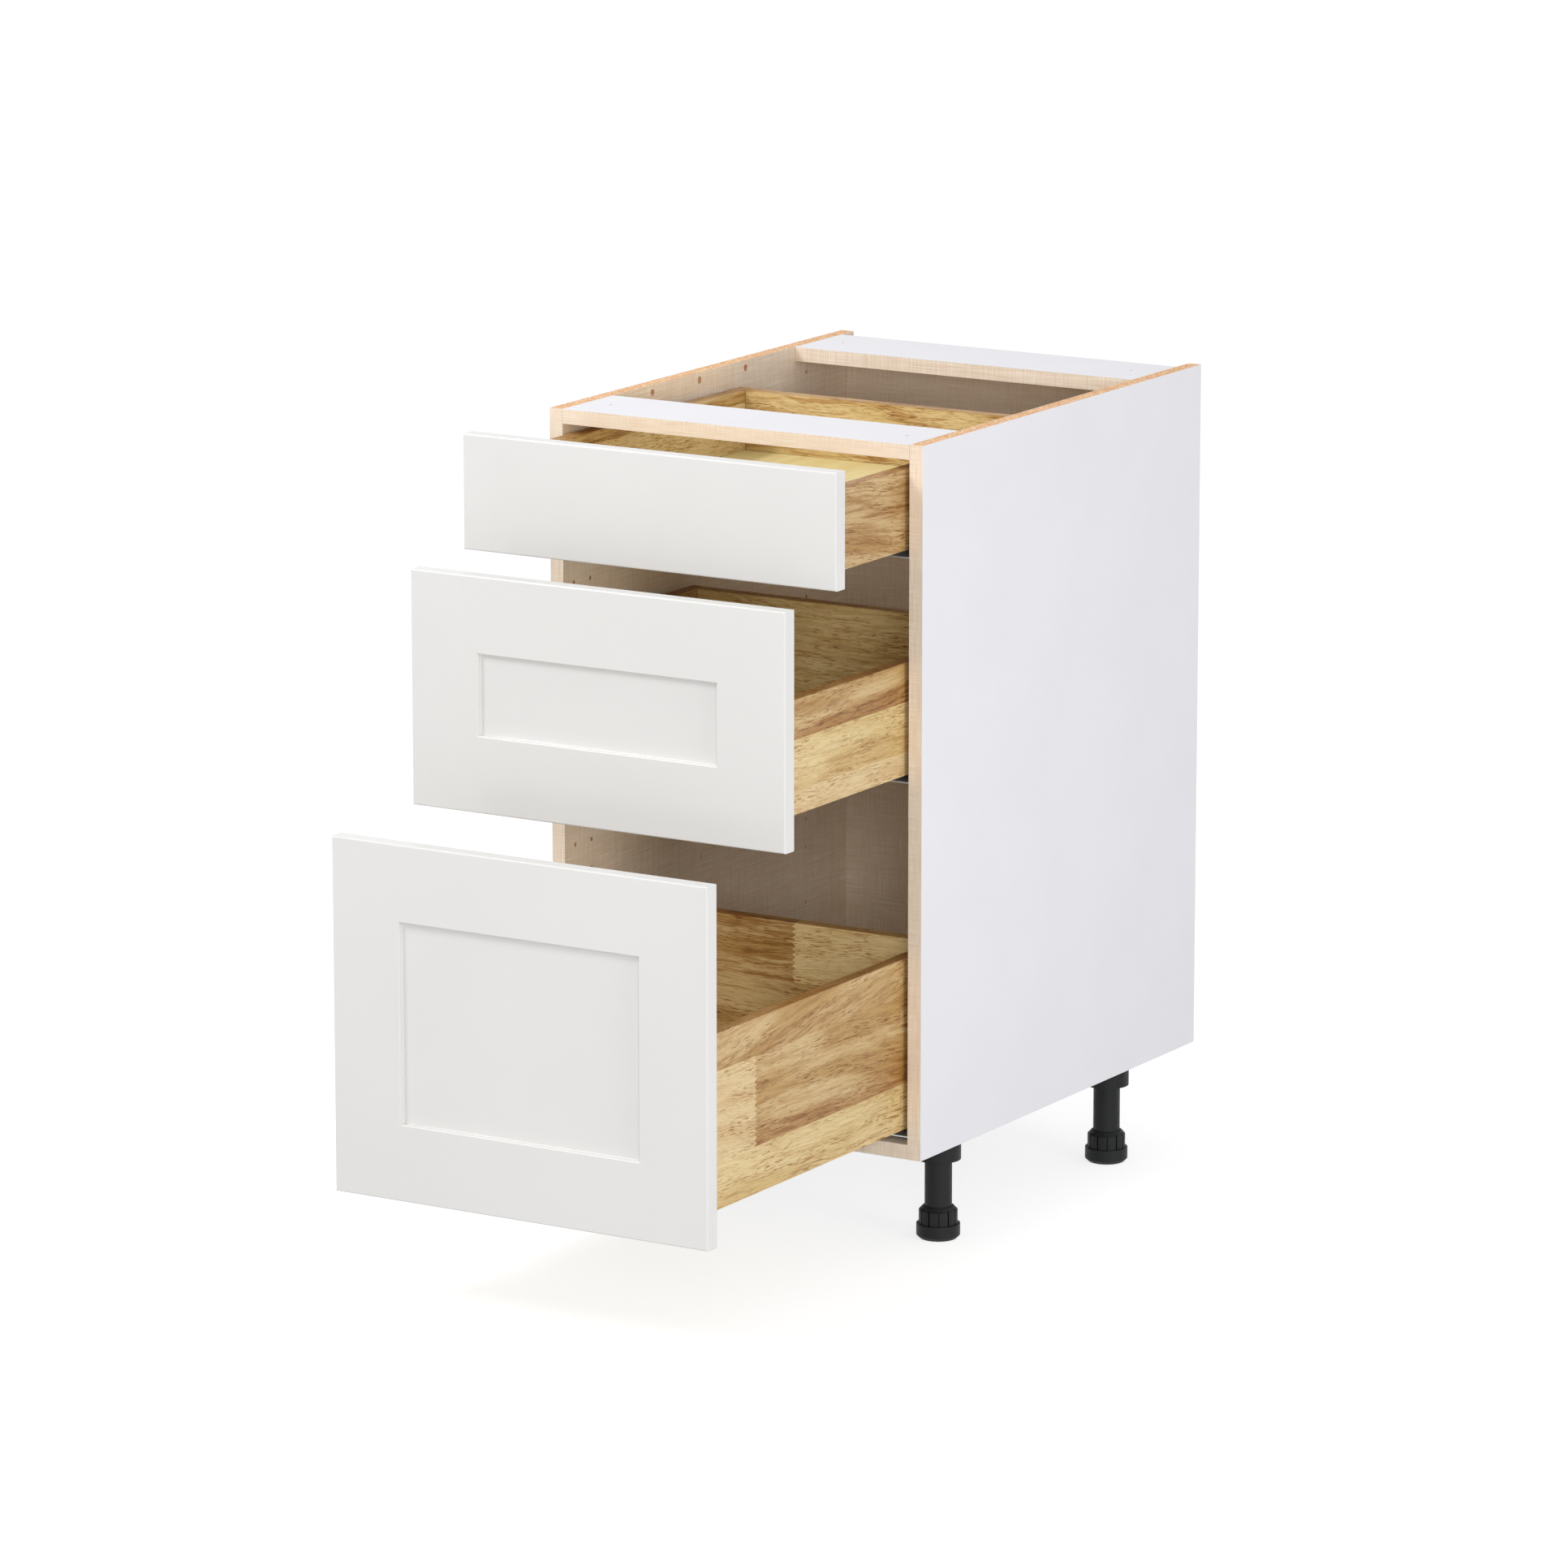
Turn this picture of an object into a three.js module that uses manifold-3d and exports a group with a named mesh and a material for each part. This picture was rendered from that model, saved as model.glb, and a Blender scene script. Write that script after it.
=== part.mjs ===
// Kitchen base cabinet with three drawers, each pulled out by its own amount.
// Millimetres. +Z is up, +X is to the right, and the drawers pull out towards -Y.
// The origin is on the floor, in the middle of the space that the cabinet takes up.

import * as THREE from "three";
import { mergeVertices } from "three/addons/utils/BufferGeometryUtils.js";
import Module from "manifold-3d";

const wasm = await Module();
wasm.setup();

// ---------------------------------------------------------------- driving dimensions

// Carcase
const cabinetWidth = 457.2;
const carcaseDepth = 603.25;
const carcaseHeight = 762;
const panelThickness = 15.9;
const seam = 0.3;
const stretcherWidth = 100;
const rearStretcherSetback = 27;
const worktopScrewHole = 4;
const worktopScrewEdge = 47.5;
const worktopScrewEnd = 30.5;

// Knock-down fittings, bored where the assembled cabinet hides them
const camBore = 15;
const camBoreDepth = 12.5;
const camBoreEnd = 34;
const camBoreEdge = 60;

// Holes in the inner faces of the sides
const systemPitch = 32;
const systemFirst = 20.8;
const systemHole = 5;
const systemHoleDepth = 10;
const lowestRow = 126.3;
const equalRowPitch = 254;
const hingeRows = [285.5, 571.5];
const spareDowel = 8;
const spareDowelDepth = 11;
const spareDowelDrop = 8.6;
const spareDowelFirst = 179.6;
const spareDowelPitch = 96;
const spareDowelCount = 3;

// Legs
const legHeight = 114.3;
const legFromSide = 42.5;
const legFromFront = 111.4;
const legFromRear = 122;
const columnDiameter = 29.3;
const columnWall = 2.6;
const socketDiameter = 48.3;
const socketHeight = 27;
const socketGrip = 21;
const socketWall = 2.4;
const socketPocket = 18;
const socketRibs = 8;
const socketRib = 2;
const socketScrews = 4;
const socketScrewHole = 4.5;
const socketScrewCircle = 17;
const footDiameter = 47;
const footRing = 16;
const footChamfer = 3.6;
const footFloor = 5;
const collarDiameter = 36.4;
const collarHeight = 19.3;
const collarRimBevel = 1.6;
const threadClearance = 0.35;
const padDiameter = 41.6;
const padCount = 12;
const padAngle = 25.5;
const padTurn = 16.4;
const padDrop = 1.8;
const padRoot = 1;
const screwUpTravel = 5;

// Drawer fronts
const frontThickness = 19;
const frontReveal = 2.2;
const frontSideReveal = 2.4;
const frontEase = 1.6;
const easeFacets = 3;
const frontGap = 1.5;
const frameWidth = 82;
const panelRecess = 6.2;
const stickingBevel = 1.4;
const stickingFoot = 0.9;

// Drawer boxes
const boxWall = 15;
const boxLength = 502;
const boxSideClearance = 6;
const boxEase = 0.8;
const bottomRecess = 13;
const bottomThickness = 6;
const grooveDepth = 6;
const topModule = 127;
const middleModule = 254;
const topBoxRise = 15.3;
const topBoxHeadroom = 10.4;
const middleBoxRise = 30.9;
const middleBoxHeight = 119.7;
const bottomBoxRise = 31.2;
const bottomBoxHeight = 184.4;
const topPulledOut = 150;
const middlePulledOut = 250;
const bottomPulledOut = 400;

// Telescopic rails under each box
const sheet = 1.2;
const railGap = 0.6;
const railDrop = 8.3;
const railFlange = 30;
const railFromBox = 1.2;
const railWidth = 18.8;
const railWallTop = 3;
const railLip = 3.4;
const cabinetRailFront = 3;
const cabinetRailLength = 530;
const railScrewColumns = [1, 8, 15];
const railScrewHole = 4.5;
const railPilotHole = 3;
const railScrewRise = 14;
const middleRailFront = 40;
const middleRailLength = 440;
const drawerRailFront = 2.7;
const railNotchMargin = 1;
const hookHeight = 18;
const hookPin = 4.8;
const hookPinReach = 10;
const hookClearance = 0.4;

// Release levers behind the box fronts
const leverPivotIn = 11;
const leverPivotBack = 14.7;
const leverPin = 4;
const leverPinReach = 4;
const leverHub = 12;
const leverReach = 42;
const leverArm = 7;
const leverTab = 11;
const leverTabWidth = 6;
const leverThickness = 7;
const noseBack = 25;
const noseWidth = 6;
const leverClearance = 0.35;

// ---------------------------------------------------------------- shared places

const insideHalf = cabinetWidth / 2 - panelThickness;
const boxHalf = insideHalf - boxSideClearance;
const boxInsideHalf = boxHalf - boxWall;
const stretcherUnderside = carcaseHeight - panelThickness;
const backFace = carcaseDepth - panelThickness;
const legReach = cabinetWidth / 2 - legFromSide;
const rearLegY = carcaseDepth - legFromRear;
const railOuter = boxSideClearance + boxWall + railFromBox;
const railInner = railOuter + railWidth;
const drawerRailTop = bottomRecess - seam;
const drawerRailFoot = railWallTop + 2 * railGap;
const bottomModule = carcaseHeight - topModule - middleModule;
const cutMargin = 1;
const roundSides = 30;

const systemColumn = (n) => systemFirst + n * systemPitch;

const drawers = [
  {
    name: "top",
    base: carcaseHeight - topModule,
    height: topModule,
    boxBase: carcaseHeight - topModule + topBoxRise,
    boxHeight: topModule - topBoxRise - panelThickness - topBoxHeadroom,
    pulledOut: topPulledOut,
    framed: false,
  },
  {
    name: "middle",
    base: bottomModule,
    height: middleModule,
    boxBase: bottomModule + middleBoxRise,
    boxHeight: middleBoxHeight,
    pulledOut: middlePulledOut,
    framed: true,
  },
  {
    name: "bottom",
    base: 0,
    height: bottomModule,
    boxBase: bottomBoxRise,
    boxHeight: bottomBoxHeight,
    pulledOut: bottomPulledOut,
    framed: true,
  },
];

// ---------------------------------------------------------------- finishes

const finish = (color, roughness, metalness) => () =>
  new THREE.MeshStandardMaterial({ color, roughness, metalness, flatShading: true });

const melamine = finish(0xe6e5ea, 0.45, 0);
const linenBoard = finish(0xb9a48c, 0.6, 0);
const paintedFront = finish(0xe9e8e6, 0.4, 0);
const rubberwood = finish(0xc9a66f, 0.55, 0);
const plywood = finish(0xe1c780, 0.5, 0);
const zincSteel = finish(0xb4b7b8, 0.35, 0.9);
const blackPlastic = finish(0x2a2c2b, 0.5, 0);
const leverPlastic = finish(0x8b8f92, 0.5, 0);

// ---------------------------------------------------------------- solid helpers

function toSolid(geometry) {
  geometry.deleteAttribute("normal");
  geometry.deleteAttribute("uv");
  const merged = mergeVertices(geometry);
  return new wasm.Manifold(new wasm.Mesh({
    numProp: 3,
    vertProperties: new Float32Array(merged.attributes.position.array),
    triVerts: new Uint32Array(merged.index.array),
  }));
}

function toGeometry(solid) {
  const mesh = solid.getMesh();
  const geometry = new THREE.BufferGeometry();
  geometry.setAttribute("position", new THREE.BufferAttribute(mesh.vertProperties, 3));
  geometry.setIndex(new THREE.BufferAttribute(mesh.triVerts, 1));
  geometry.computeVertexNormals();
  return geometry;
}

// A block between two corners
function block(low, high) {
  const [w, d, h] = high.map((value, i) => value - low[i]);
  const geometry = new THREE.BoxGeometry(w, d, h);
  geometry.translate(low[0] + w / 2, low[1] + d / 2, low[2] + h / 2);
  return toSolid(geometry);
}

// A round bar along X, Y or Z, from a centre point on its start face
function bar(axis, diameter, start, length, sides = 16) {
  const geometry = new THREE.CylinderGeometry(diameter / 2, diameter / 2, Math.abs(length), sides);
  if (axis === "x") geometry.rotateZ(Math.PI / 2);
  if (axis === "z") geometry.rotateX(Math.PI / 2);
  const middle = { x: 0, y: 0, z: 0 };
  middle[axis] = length / 2;
  geometry.translate(start[0] + middle.x, start[1] + middle.y, start[2] + middle.z);
  return toSolid(geometry);
}

const outline = (points) => new THREE.Shape(points.map(([a, b]) => new THREE.Vector2(a, b)));

// A profile drawn in X and Z, run along Y
function runAlongDepth(points, from, to) {
  const geometry = new THREE.ExtrudeGeometry(outline(points), { depth: to - from, bevelEnabled: false });
  geometry.rotateX(Math.PI / 2);
  geometry.translate(0, to, 0);
  return toSolid(geometry);
}

// A plan drawn in X and Y, raised along Z
function raise(shape, from, to, curveSegments = 4) {
  const geometry = new THREE.ExtrudeGeometry(shape, { depth: to - from, bevelEnabled: false, curveSegments });
  geometry.translate(0, 0, from);
  return toSolid(geometry);
}

// An upright board: width along X, height along Z, its eased edges inside the given size
function easedBoard(width, height, thickness, ease, segments) {
  const shape = outline([
    [-width / 2, -height / 2],
    [width / 2, -height / 2],
    [width / 2, height / 2],
    [-width / 2, height / 2],
  ]);
  const geometry = new THREE.ExtrudeGeometry(shape, {
    depth: thickness - 2 * ease,
    bevelThickness: ease,
    bevelSize: ease,
    bevelOffset: -ease,
    bevelSegments: segments,
  });
  geometry.translate(0, 0, ease);
  geometry.rotateX(Math.PI / 2);
  return toSolid(geometry);
}

// A profile of radius and height that starts and ends on the Z axis, turned about it
function turned(profile) {
  const geometry = new THREE.LatheGeometry(profile.map(([r, z]) => new THREE.Vector2(r, z)), roundSides);
  geometry.rotateX(Math.PI / 2);
  return toSolid(geometry);
}

const cutAll = (solid, cutters) => cutters.reduce((rest, cutter) => rest.subtract(cutter), solid);
const joinAll = (solids) => solids.reduce((joined, solid) => joined.add(solid));

function place(parent, name, solid, material) {
  const mesh = new THREE.Mesh(toGeometry(solid), material());
  mesh.name = name;
  parent.add(mesh);
  return mesh;
}

// ---------------------------------------------------------------- carcase

// A blind hole that starts in the inner face of a side and goes outwards
function sideHole(side, diameter, depth, y, z) {
  return bar("x", diameter, [side * (insideHalf - cutMargin), y, z], side * (depth + cutMargin), 8);
}

function sidePanel(side) {
  const inner = side * insideHalf;
  const outer = side * cabinetWidth / 2;
  const board = block(
    [Math.min(inner, outer), 0, 0],
    [Math.max(inner, outer), carcaseDepth, carcaseHeight],
  );
  const holes = [];
  const addSystemHole = (column, z) =>
    holes.push(sideHole(side, systemHole, systemHoleDepth, systemColumn(column), z));
  // Rows for three equal drawers
  const equalRow = lowestRow + 3 * systemPitch;
  for (let row = 0; row < 3; row += 1) {
    railScrewColumns.forEach((column) => addSystemHole(column, equalRow + row * equalRowPitch));
  }
  // A run of holes below the lowest of those rows, at the rear, and one above it at the front
  for (let row = 0; row < 3; row += 1) addSystemHole(railScrewColumns[2], lowestRow + row * systemPitch);
  addSystemHole(railScrewColumns[0], lowestRow + 4 * systemPitch);
  // Pairs for hinge plates
  hingeRows.forEach((z) => [0, 1].forEach((column) => addSystemHole(column, z)));
  // Pilot holes of the rails that are fitted
  drawers.forEach((drawer) => railScrewColumns.forEach((column) => holes.push(
    sideHole(side, railPilotHole, systemHoleDepth, systemColumn(column), drawer.boxBase + railScrewRise),
  )));
  for (let i = 0; i < spareDowelCount; i += 1) {
    const y = spareDowelFirst + i * spareDowelPitch;
    holes.push(sideHole(side, spareDowel, spareDowelDepth, y, carcaseHeight - spareDowelDrop));
  }
  return cutAll(board, holes);
}

function bottomPanel() {
  const half = insideHalf - seam;
  const board = block([-half, 0, 0], [half, backFace - seam, panelThickness]);
  const cams = [];
  for (const side of [-1, 1]) {
    for (const y of [camBoreEdge, backFace - camBoreEdge]) {
      cams.push(bar("z", camBore, [side * (half - camBoreEnd), y, camBoreDepth], -camBoreDepth - cutMargin));
    }
  }
  return cutAll(board, cams);
}

function backPanel() {
  const half = insideHalf - seam;
  const board = block([-half, backFace, 0], [half, carcaseDepth, stretcherUnderside]);
  const cams = [];
  for (const side of [-1, 1]) {
    for (const z of [camBoreEdge, stretcherUnderside - camBoreEdge]) {
      const start = [side * (half - camBoreEnd), carcaseDepth - camBoreDepth, z];
      cams.push(bar("y", camBore, start, camBoreDepth + cutMargin));
    }
  }
  return cutAll(board, cams);
}

function stretcher(frontEdge, screwY) {
  const half = insideHalf - seam;
  const board = block(
    [-half, frontEdge, stretcherUnderside],
    [half, frontEdge + stretcherWidth, carcaseHeight],
  );
  const holes = [];
  for (const side of [-1, 1]) {
    const below = stretcherUnderside - cutMargin;
    const through = panelThickness + 2 * cutMargin;
    const screwX = side * (insideHalf - worktopScrewEnd);
    holes.push(bar("z", worktopScrewHole, [screwX, screwY, below], through, 10));
    const camY = 2 * frontEdge + stretcherWidth - screwY;
    holes.push(bar("z", camBore, [side * (half - camBoreEnd), camY, below], camBoreDepth + cutMargin));
  }
  return cutAll(board, holes);
}

// ---------------------------------------------------------------- legs, standing on the floor

const socketBottom = legHeight - seam - socketHeight;

// A moulded cup under the bottom panel: a shell and a sleeve for the column, with ribs between them
function legSocket() {
  const outer = socketDiameter / 2;
  const bore = columnDiameter / 2 + seam;
  const top = legHeight - seam;
  const cup = turned([
    [0, socketBottom + socketGrip],
    [bore, socketBottom + socketGrip],
    [bore, socketBottom],
    [bore + socketWall, socketBottom],
    [bore + socketWall, socketBottom + socketPocket],
    [outer - socketWall, socketBottom + socketPocket],
    [outer - socketWall, socketBottom],
    [outer, socketBottom],
    [outer, top],
    [0, top],
  ]);
  const overlap = socketWall / 2;
  const rib = block(
    [bore + overlap, -socketRib / 2, socketBottom + socketWall],
    [outer - overlap, socketRib / 2, socketBottom + socketPocket + overlap],
  );
  const ribs = Array.from({ length: socketRibs }, (_, i) => rib.rotate([0, 0, i * 360 / socketRibs]));
  // Screws through the web hold the cup to the panel, under the column
  const screwStart = [socketScrewCircle / 2, 0, socketBottom];
  const screw = bar("z", socketScrewHole, screwStart, socketHeight + cutMargin, 8);
  const screws = Array.from({ length: socketScrews }, (_, i) => (
    screw.rotate([0, 0, (i + 0.5) * 360 / socketScrews])
  ));
  return cutAll(joinAll([cup, ...ribs]), screws);
}

function legColumn() {
  const radius = columnDiameter / 2;
  const bottom = footFloor + screwUpTravel;
  const top = socketBottom + socketGrip - seam;
  return turned([
    [0, top - columnWall],
    [radius - columnWall, top - columnWall],
    [radius - columnWall, bottom],
    [radius, bottom],
    [radius, top],
    [0, top],
  ]);
}

function legFoot() {
  const ring = footDiameter / 2;
  const collar = collarDiameter / 2;
  const top = footRing + collarHeight;
  const bore = columnDiameter / 2 + threadClearance;
  const cup = turned([
    [0, 0],
    [ring - footChamfer, 0],
    [ring, footChamfer],
    [ring, footRing],
    [collar, footRing],
    [collar, top - collarRimBevel],
    [collar - collarRimBevel, top],
    [bore, top],
    [bore, footFloor],
    [0, footFloor],
  ]);
  // Raised pads round the collar give the fingers a grip, and slope back to its rim at the top
  const pad = padDiameter / 2;
  const half = THREE.MathUtils.degToRad(padAngle / 2);
  const shape = new THREE.Shape();
  shape.absarc(0, 0, pad, -half, half, false);
  shape.absarc(0, 0, collar - padRoot, half, -half, true);
  const grip = raise(shape, footRing - padRoot, top, 2);
  const grips = Array.from({ length: padCount }, (_, i) => grip.rotate([0, 0, padTurn + i * 360 / padCount]));
  const slope = turned([
    [0, 0],
    [pad, 0],
    [pad, top - padDrop - (pad - collar)],
    [collar, top - padDrop],
    [0, top - padDrop],
  ]);
  return cup.add(joinAll(grips).intersect(slope));
}

// ---------------------------------------------------------------- drawer fronts

// The front stands with its back face at y = 0 and its lower edge at z = 0
function drawerFront(width, height, framed) {
  const slab = easedBoard(width, height, frontThickness, frontEase, easeFacets).translate([0, 0, height / 2]);
  if (!framed) return slab;
  const pocketWidth = width - 2 * frameWidth;
  const pocketHeight = height - 2 * frameWidth;
  const face = -frontThickness;
  // Straight-walled pocket with a small bevel round its floor
  const pocket = easedBoard(pocketWidth, pocketHeight, 4 * panelRecess, stickingFoot, easeFacets)
    .translate([0, face + panelRecess, height / 2]);
  // Bevel round its mouth: the board's eased side, with the ease reaching into the face
  const mouth = easedBoard(
    pocketWidth + 2 * stickingBevel, pocketHeight + 2 * stickingBevel, 4 * panelRecess, stickingBevel, easeFacets,
  ).translate([0, face + stickingBevel, height / 2]);
  return slab.subtract(pocket).subtract(mouth);
}

// ---------------------------------------------------------------- drawer boxes

// In a drawer's own space y = 0 is the back face of its front and z = 0 the lower edge of its box
const boxRear = seam + boxLength;
const hookPinZ = bottomRecess + bottomThickness + hookPin + 2 * hookClearance;
const railMiddle = insideHalf - (railOuter + railInner) / 2;
const drawerRailStart = seam + boxWall + drawerRailFront;
const pivotY = seam + boxWall + leverPivotBack;
const pivotU = railInner + leverPivotIn;

function grooveCut(low, high) {
  return block(
    [low[0], low[1], bottomRecess - seam],
    [high[0], high[1], bottomRecess + bottomThickness + seam],
  );
}

function boxSide(side, height) {
  const board = easedRail(seam, boxRear, height).translate([side * (boxHalf - boxWall / 2), 0, 0]);
  const open = side * (boxInsideHalf - cutMargin);
  const deep = side * (boxInsideHalf + grooveDepth);
  return board.subtract(grooveCut(
    [Math.min(open, deep), seam + boxWall - grooveDepth],
    [Math.max(open, deep), boxRear - boxWall + grooveDepth],
  ));
}

// A board on edge along Y with its upper edges rounded over
function easedRail(from, to, height) {
  const half = boxWall / 2;
  return runAlongDepth([
    [-half, 0],
    [half, 0],
    [half, height - boxEase],
    [half - boxEase, height],
    [-half + boxEase, height],
    [-half, height - boxEase],
  ], from, to);
}

function boxFront(height) {
  const half = boxInsideHalf - seam;
  const board = block([-half, seam, 0], [half, seam + boxWall, height - boxEase / 2]);
  const rear = seam + boxWall;
  return board.subtract(grooveCut(
    [-half - cutMargin, rear - grooveDepth],
    [half + cutMargin, rear + cutMargin],
  ));
}

function boxBack(height) {
  const half = boxInsideHalf - seam;
  const front = boxRear - boxWall;
  const board = block([-half, front, 0], [half, boxRear, height - boxEase / 2]);
  const cuts = [grooveCut([-half - cutMargin, front - cutMargin], [half + cutMargin, front + grooveDepth])];
  for (const side of [-1, 1]) {
    // Notch for the rail, and the hole that takes its rear hook
    const notchEnd = side * (insideHalf - railInner - railNotchMargin);
    const beyond = side * (half + cutMargin);
    cuts.push(block(
      [Math.min(notchEnd, beyond), front - cutMargin, -cutMargin],
      [Math.max(notchEnd, beyond), boxRear + cutMargin, bottomRecess],
    ));
    const hole = hookPin + 2 * hookClearance;
    const start = [side * railMiddle, boxRear - hookPinReach - seam, hookPinZ];
    cuts.push(bar("y", hole, start, hookPinReach + seam + cutMargin, 12));
  }
  return cutAll(board, cuts);
}

function boxBottom() {
  const half = boxInsideHalf + grooveDepth - seam;
  const front = seam + boxWall - grooveDepth + seam;
  const rear = boxRear - boxWall + grooveDepth - seam;
  const board = block([-half, front, bottomRecess], [half, rear, bottomRecess + bottomThickness]);
  // Blind holes in the underside for the levers' pins
  const holes = [-1, 1].map((side) => bar(
    "z", leverPin + 2 * leverClearance, [side * (insideHalf - pivotU), pivotY, bottomRecess - cutMargin],
    leverPinReach + leverClearance + cutMargin, 12,
  ));
  return cutAll(board, holes);
}

// ---------------------------------------------------------------- telescopic rails

// Profiles are drawn with u, the distance in from the cabinet side, and z from the box's lower edge
const fromSide = (side, points) => points.map(([u, z]) => [side * (insideHalf - u), z]);

function cabinetRail(side) {
  const flangeTop = railFlange - railDrop;
  const floor = -railDrop;
  const profile = [
    [seam, flangeTop],
    [seam, floor],
    [railInner, floor],
    [railInner, railWallTop],
    [railInner - railLip, railWallTop],
    [railInner - railLip, railWallTop - sheet],
    [railInner - sheet, railWallTop - sheet],
    [railInner - sheet, floor + sheet],
    [railOuter + sheet, floor + sheet],
    [railOuter + sheet, railWallTop - sheet],
    [railOuter + railLip, railWallTop - sheet],
    [railOuter + railLip, railWallTop],
    [railOuter, railWallTop],
    [railOuter, floor + sheet],
    [seam + sheet, floor + sheet],
    [seam + sheet, flangeTop],
  ];
  const end = cabinetRailFront + cabinetRailLength;
  const rail = runAlongDepth(fromSide(side, profile), cabinetRailFront, end);
  // At its front end the channel is cut down, to pass under the closed box front
  const near = side * (insideHalf - railOuter + railFromBox / 2);
  const far = side * (insideHalf - railInner - cutMargin);
  const relief = block(
    [Math.min(near, far), cabinetRailFront - cutMargin, -railGap],
    [Math.max(near, far), boxWall + railGap, railWallTop + cutMargin],
  );
  const screws = railScrewColumns.map((column) => bar(
    "x", railScrewHole, [side * (insideHalf + cutMargin), systemColumn(column), railScrewRise],
    -side * (sheet + seam + 2 * cutMargin), 10,
  ));
  return cutAll(rail, [relief, ...screws]);
}

// An I section with turned edges: the lower ones are held under the cabinet rail's lips, and the
// upper ones over the drawer rail's lips
function middleRail(side) {
  const low = railOuter + sheet + railGap;
  const high = railInner - sheet - railGap;
  const web = (low + high) / 2;
  const foot = -railDrop + sheet + railGap;
  const footEdge = railWallTop - sheet - railGap;
  const head = drawerRailTop - sheet - railGap;
  const headEdge = drawerRailFoot + sheet + railGap;
  const nearHalf = [
    [low, foot],
    [low, footEdge],
    [low + sheet, footEdge],
    [low + sheet, foot + sheet],
    [web - sheet, foot + sheet],
    [web - sheet, head - sheet],
    [low + sheet, head - sheet],
    [low + sheet, headEdge],
    [low, headEdge],
    [low, head],
  ];
  const farHalf = nearHalf.map(([u, z]) => [low + high - u, z]).reverse();
  return runAlongDepth(
    fromSide(side, [...nearHalf, ...farHalf]), middleRailFront, middleRailFront + middleRailLength,
  );
}

function drawerRail(side) {
  const profile = [
    [railOuter, drawerRailTop],
    [railInner, drawerRailTop],
    [railInner, drawerRailFoot],
    [railInner - railLip, drawerRailFoot],
    [railInner - railLip, drawerRailFoot + sheet],
    [railInner - sheet, drawerRailFoot + sheet],
    [railInner - sheet, drawerRailTop - sheet],
    [railOuter + sheet, drawerRailTop - sheet],
    [railOuter + sheet, drawerRailFoot + sheet],
    [railOuter + railLip, drawerRailFoot + sheet],
    [railOuter + railLip, drawerRailFoot],
    [railOuter, drawerRailFoot],
  ];
  const plateFront = boxRear + seam;
  const end = plateFront + sheet;
  const rail = runAlongDepth(fromSide(side, profile), drawerRailStart, end);
  // Rear hook: a tab bent up behind the box, with a pin that enters the back board
  const centre = side * railMiddle;
  const tabHalf = railWidth / 2 - railLip;
  const tab = block(
    [centre - tabHalf, plateFront, drawerRailTop - sheet],
    [centre + tabHalf, end, drawerRailTop + hookHeight],
  );
  const pinStart = [centre, boxRear - hookPinReach, hookPinZ];
  const pin = bar("y", hookPin, pinStart, hookPinReach + seam + sheet / 2, 12);
  // Window for the lever's nose
  const windowHalf = noseWidth / 2 + leverClearance;
  const windowInner = side * (insideHalf - railInner - cutMargin);
  const windowOuter = side * (insideHalf - railInner + sheet + cutMargin);
  const window = block(
    [Math.min(windowInner, windowOuter), pivotY + noseBack - windowHalf, drawerRailFoot + sheet],
    [Math.max(windowInner, windowOuter), pivotY + noseBack + windowHalf, drawerRailTop - sheet],
  );
  return joinAll([rail, tab, pin]).subtract(window);
}

// The lever turns on its pin in the box bottom. Its nose sits in the rail's window and holds the box to
// the rail, until the tab is pulled inwards.
function releaseLever(side) {
  const top = drawerRailTop;
  const low = top - leverThickness;
  const plan = (u, y) => [side * (insideHalf - u), y];
  const hub = bar("z", leverHub, [...plan(pivotU, pivotY), low], leverThickness, 16);
  const pin = bar(
    "z", leverPin, [...plan(pivotU, pivotY), top - leverThickness / 2],
    leverThickness / 2 + seam + leverPinReach, 12,
  );
  const armHalf = leverArm / 2;
  const end = pivotY + leverReach;
  const arm = raise(outline([
    plan(pivotU - armHalf, pivotY),
    plan(pivotU + armHalf, pivotY),
    plan(pivotU + armHalf, end - leverTabWidth),
    plan(pivotU + armHalf + leverTab, end - leverTabWidth / 2),
    plan(pivotU + armHalf + leverTab, end),
    plan(pivotU - armHalf, end),
  ]), low, top);
  const noseTip = railInner - sheet;
  const nose = raise(outline([
    plan(pivotU, pivotY + noseBack - noseWidth / 2),
    plan(railInner + leverClearance, pivotY + noseBack - noseWidth / 2),
    plan(noseTip, pivotY + noseBack),
    plan(noseTip, pivotY + noseBack + noseWidth / 2),
    plan(pivotU, pivotY + noseBack + noseWidth / 2),
  ]), drawerRailFoot + sheet + leverClearance, top - sheet - leverClearance);
  return joinAll([hub, pin, arm, nose]);
}

// ---------------------------------------------------------------- assembly

const cabinet = new THREE.Group();
const frontmost = -(frontGap + Math.max(...drawers.map((drawer) => drawer.pulledOut)) + frontThickness);
cabinet.position.y = -(frontmost + carcaseDepth) / 2;

const sides = [{ word: "left", side: -1 }, { word: "right", side: 1 }];

const carcase = new THREE.Group();
carcase.position.z = legHeight;
cabinet.add(carcase);
for (const { word, side } of sides) place(carcase, `${word}_side_panel`, sidePanel(side), melamine);
place(carcase, "bottom_panel", bottomPanel(), linenBoard);
place(carcase, "back_panel", backPanel(), linenBoard);
place(carcase, "front_stretcher", stretcher(0, worktopScrewEdge), melamine);
const rearStretcherFront = carcaseDepth - rearStretcherSetback - stretcherWidth;
const rearScrewY = carcaseDepth - rearStretcherSetback - worktopScrewEdge;
place(carcase, "rear_stretcher", stretcher(rearStretcherFront, rearScrewY), melamine);

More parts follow.
